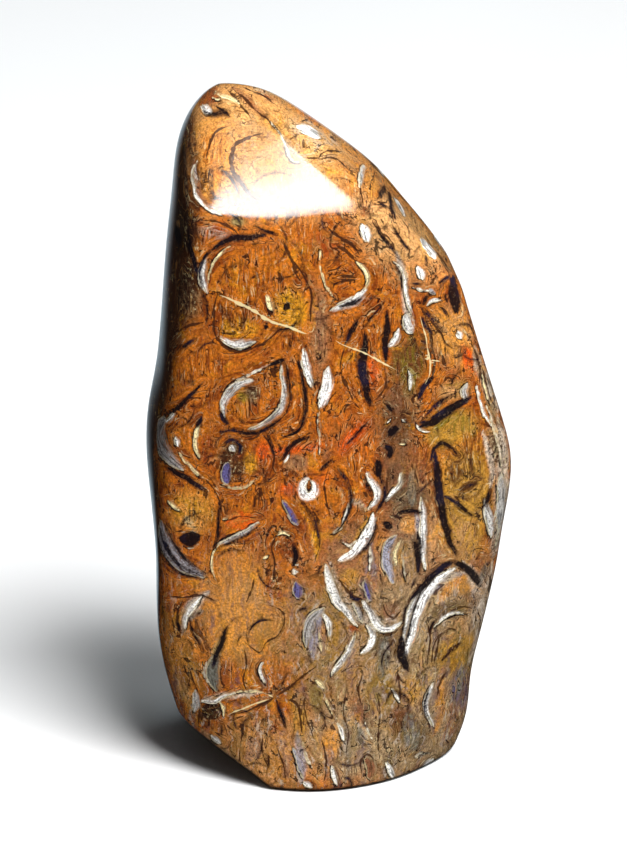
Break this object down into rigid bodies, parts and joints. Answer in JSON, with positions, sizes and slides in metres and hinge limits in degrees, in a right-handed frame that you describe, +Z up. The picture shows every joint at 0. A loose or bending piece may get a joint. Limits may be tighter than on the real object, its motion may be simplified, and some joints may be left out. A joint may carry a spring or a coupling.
{
  "type": "jasper stone",
  "caption": "Standing free-form of chocolate jasper: a tall, broad, slightly convex polished stone with a pointed top, a leaning shoulder and a flat sawn base",
  "frame": {"origin": "Middle of the stone's box in plan, on the plane of the sawn base", "axes": "+Z up, the stone's height. -Y is the way the broad face looks. +X is to the right seen from the front"},
  "size_m": [0.0948, 0.0662, 0.1797],
  "materials": {
    "jasper": "Brecciated orange-brown and olive jasper with white-grey chalcedony lenses and near-black outlines, polished glossy all over, flat sawn underside"
  },
  "bodies": {
    "root": {"jasper_stone": "jasper"}
  },
  "joints": []
}
